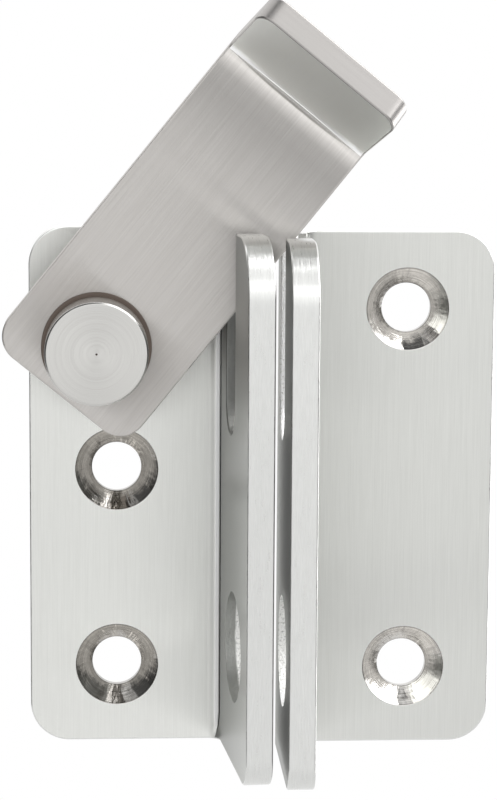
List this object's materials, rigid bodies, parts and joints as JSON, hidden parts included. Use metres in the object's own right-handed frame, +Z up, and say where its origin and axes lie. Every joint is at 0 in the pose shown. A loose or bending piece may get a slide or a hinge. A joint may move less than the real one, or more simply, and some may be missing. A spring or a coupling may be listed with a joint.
{
  "type": "flip latch",
  "caption": "Surface-mounted flip latch: a hooked flat bar swings on a knobbed pivot and drops into the slots of two bent sheet brackets, which take a padlock.",
  "frame": {"origin": "on the mounting face, midway between the latch bracket's two screw holes", "axes": "+Z up as fixed to an upright door, +Y into the door, +X from the latch bracket to the keeper bracket"},
  "size_m": [0.0561, 0.025, 0.0859],
  "materials": {
    "brushed_sheet": "vertical fine brushed grain, satin",
    "brushed_bar": "fine grain along the bar, satin",
    "turned_steel": "fine concentric turning marks",
    "washer_steel": "plain rolled"
  },
  "bodies": {
    "latch": {"latch_bracket": "brushed_sheet", "pivot_collar": "turned_steel", "disc_spring": "washer_steel", "rear_washer": "washer_steel", "front_washer": "washer_steel", "pivot_knob": "turned_steel", "pivot_screw": "turned_steel"},
    "bar": {"latch_bar": "brushed_bar"},
    "keeper": {"keeper_bracket": "brushed_sheet"}
  },
  "joints": [
    {"name": "bar_swing", "type": "hinge", "parent": "latch", "child": "bar", "pos_m": [-0.0023, -0.0113, 0.0268], "axis": [0, -1, 0], "range_deg": [-51, 222]},
    {"name": "keeper_travel", "type": "slide", "parent": "latch", "child": "keeper", "axis": [1, 0, 0], "range_m": [0, 0.06]}
  ]
}
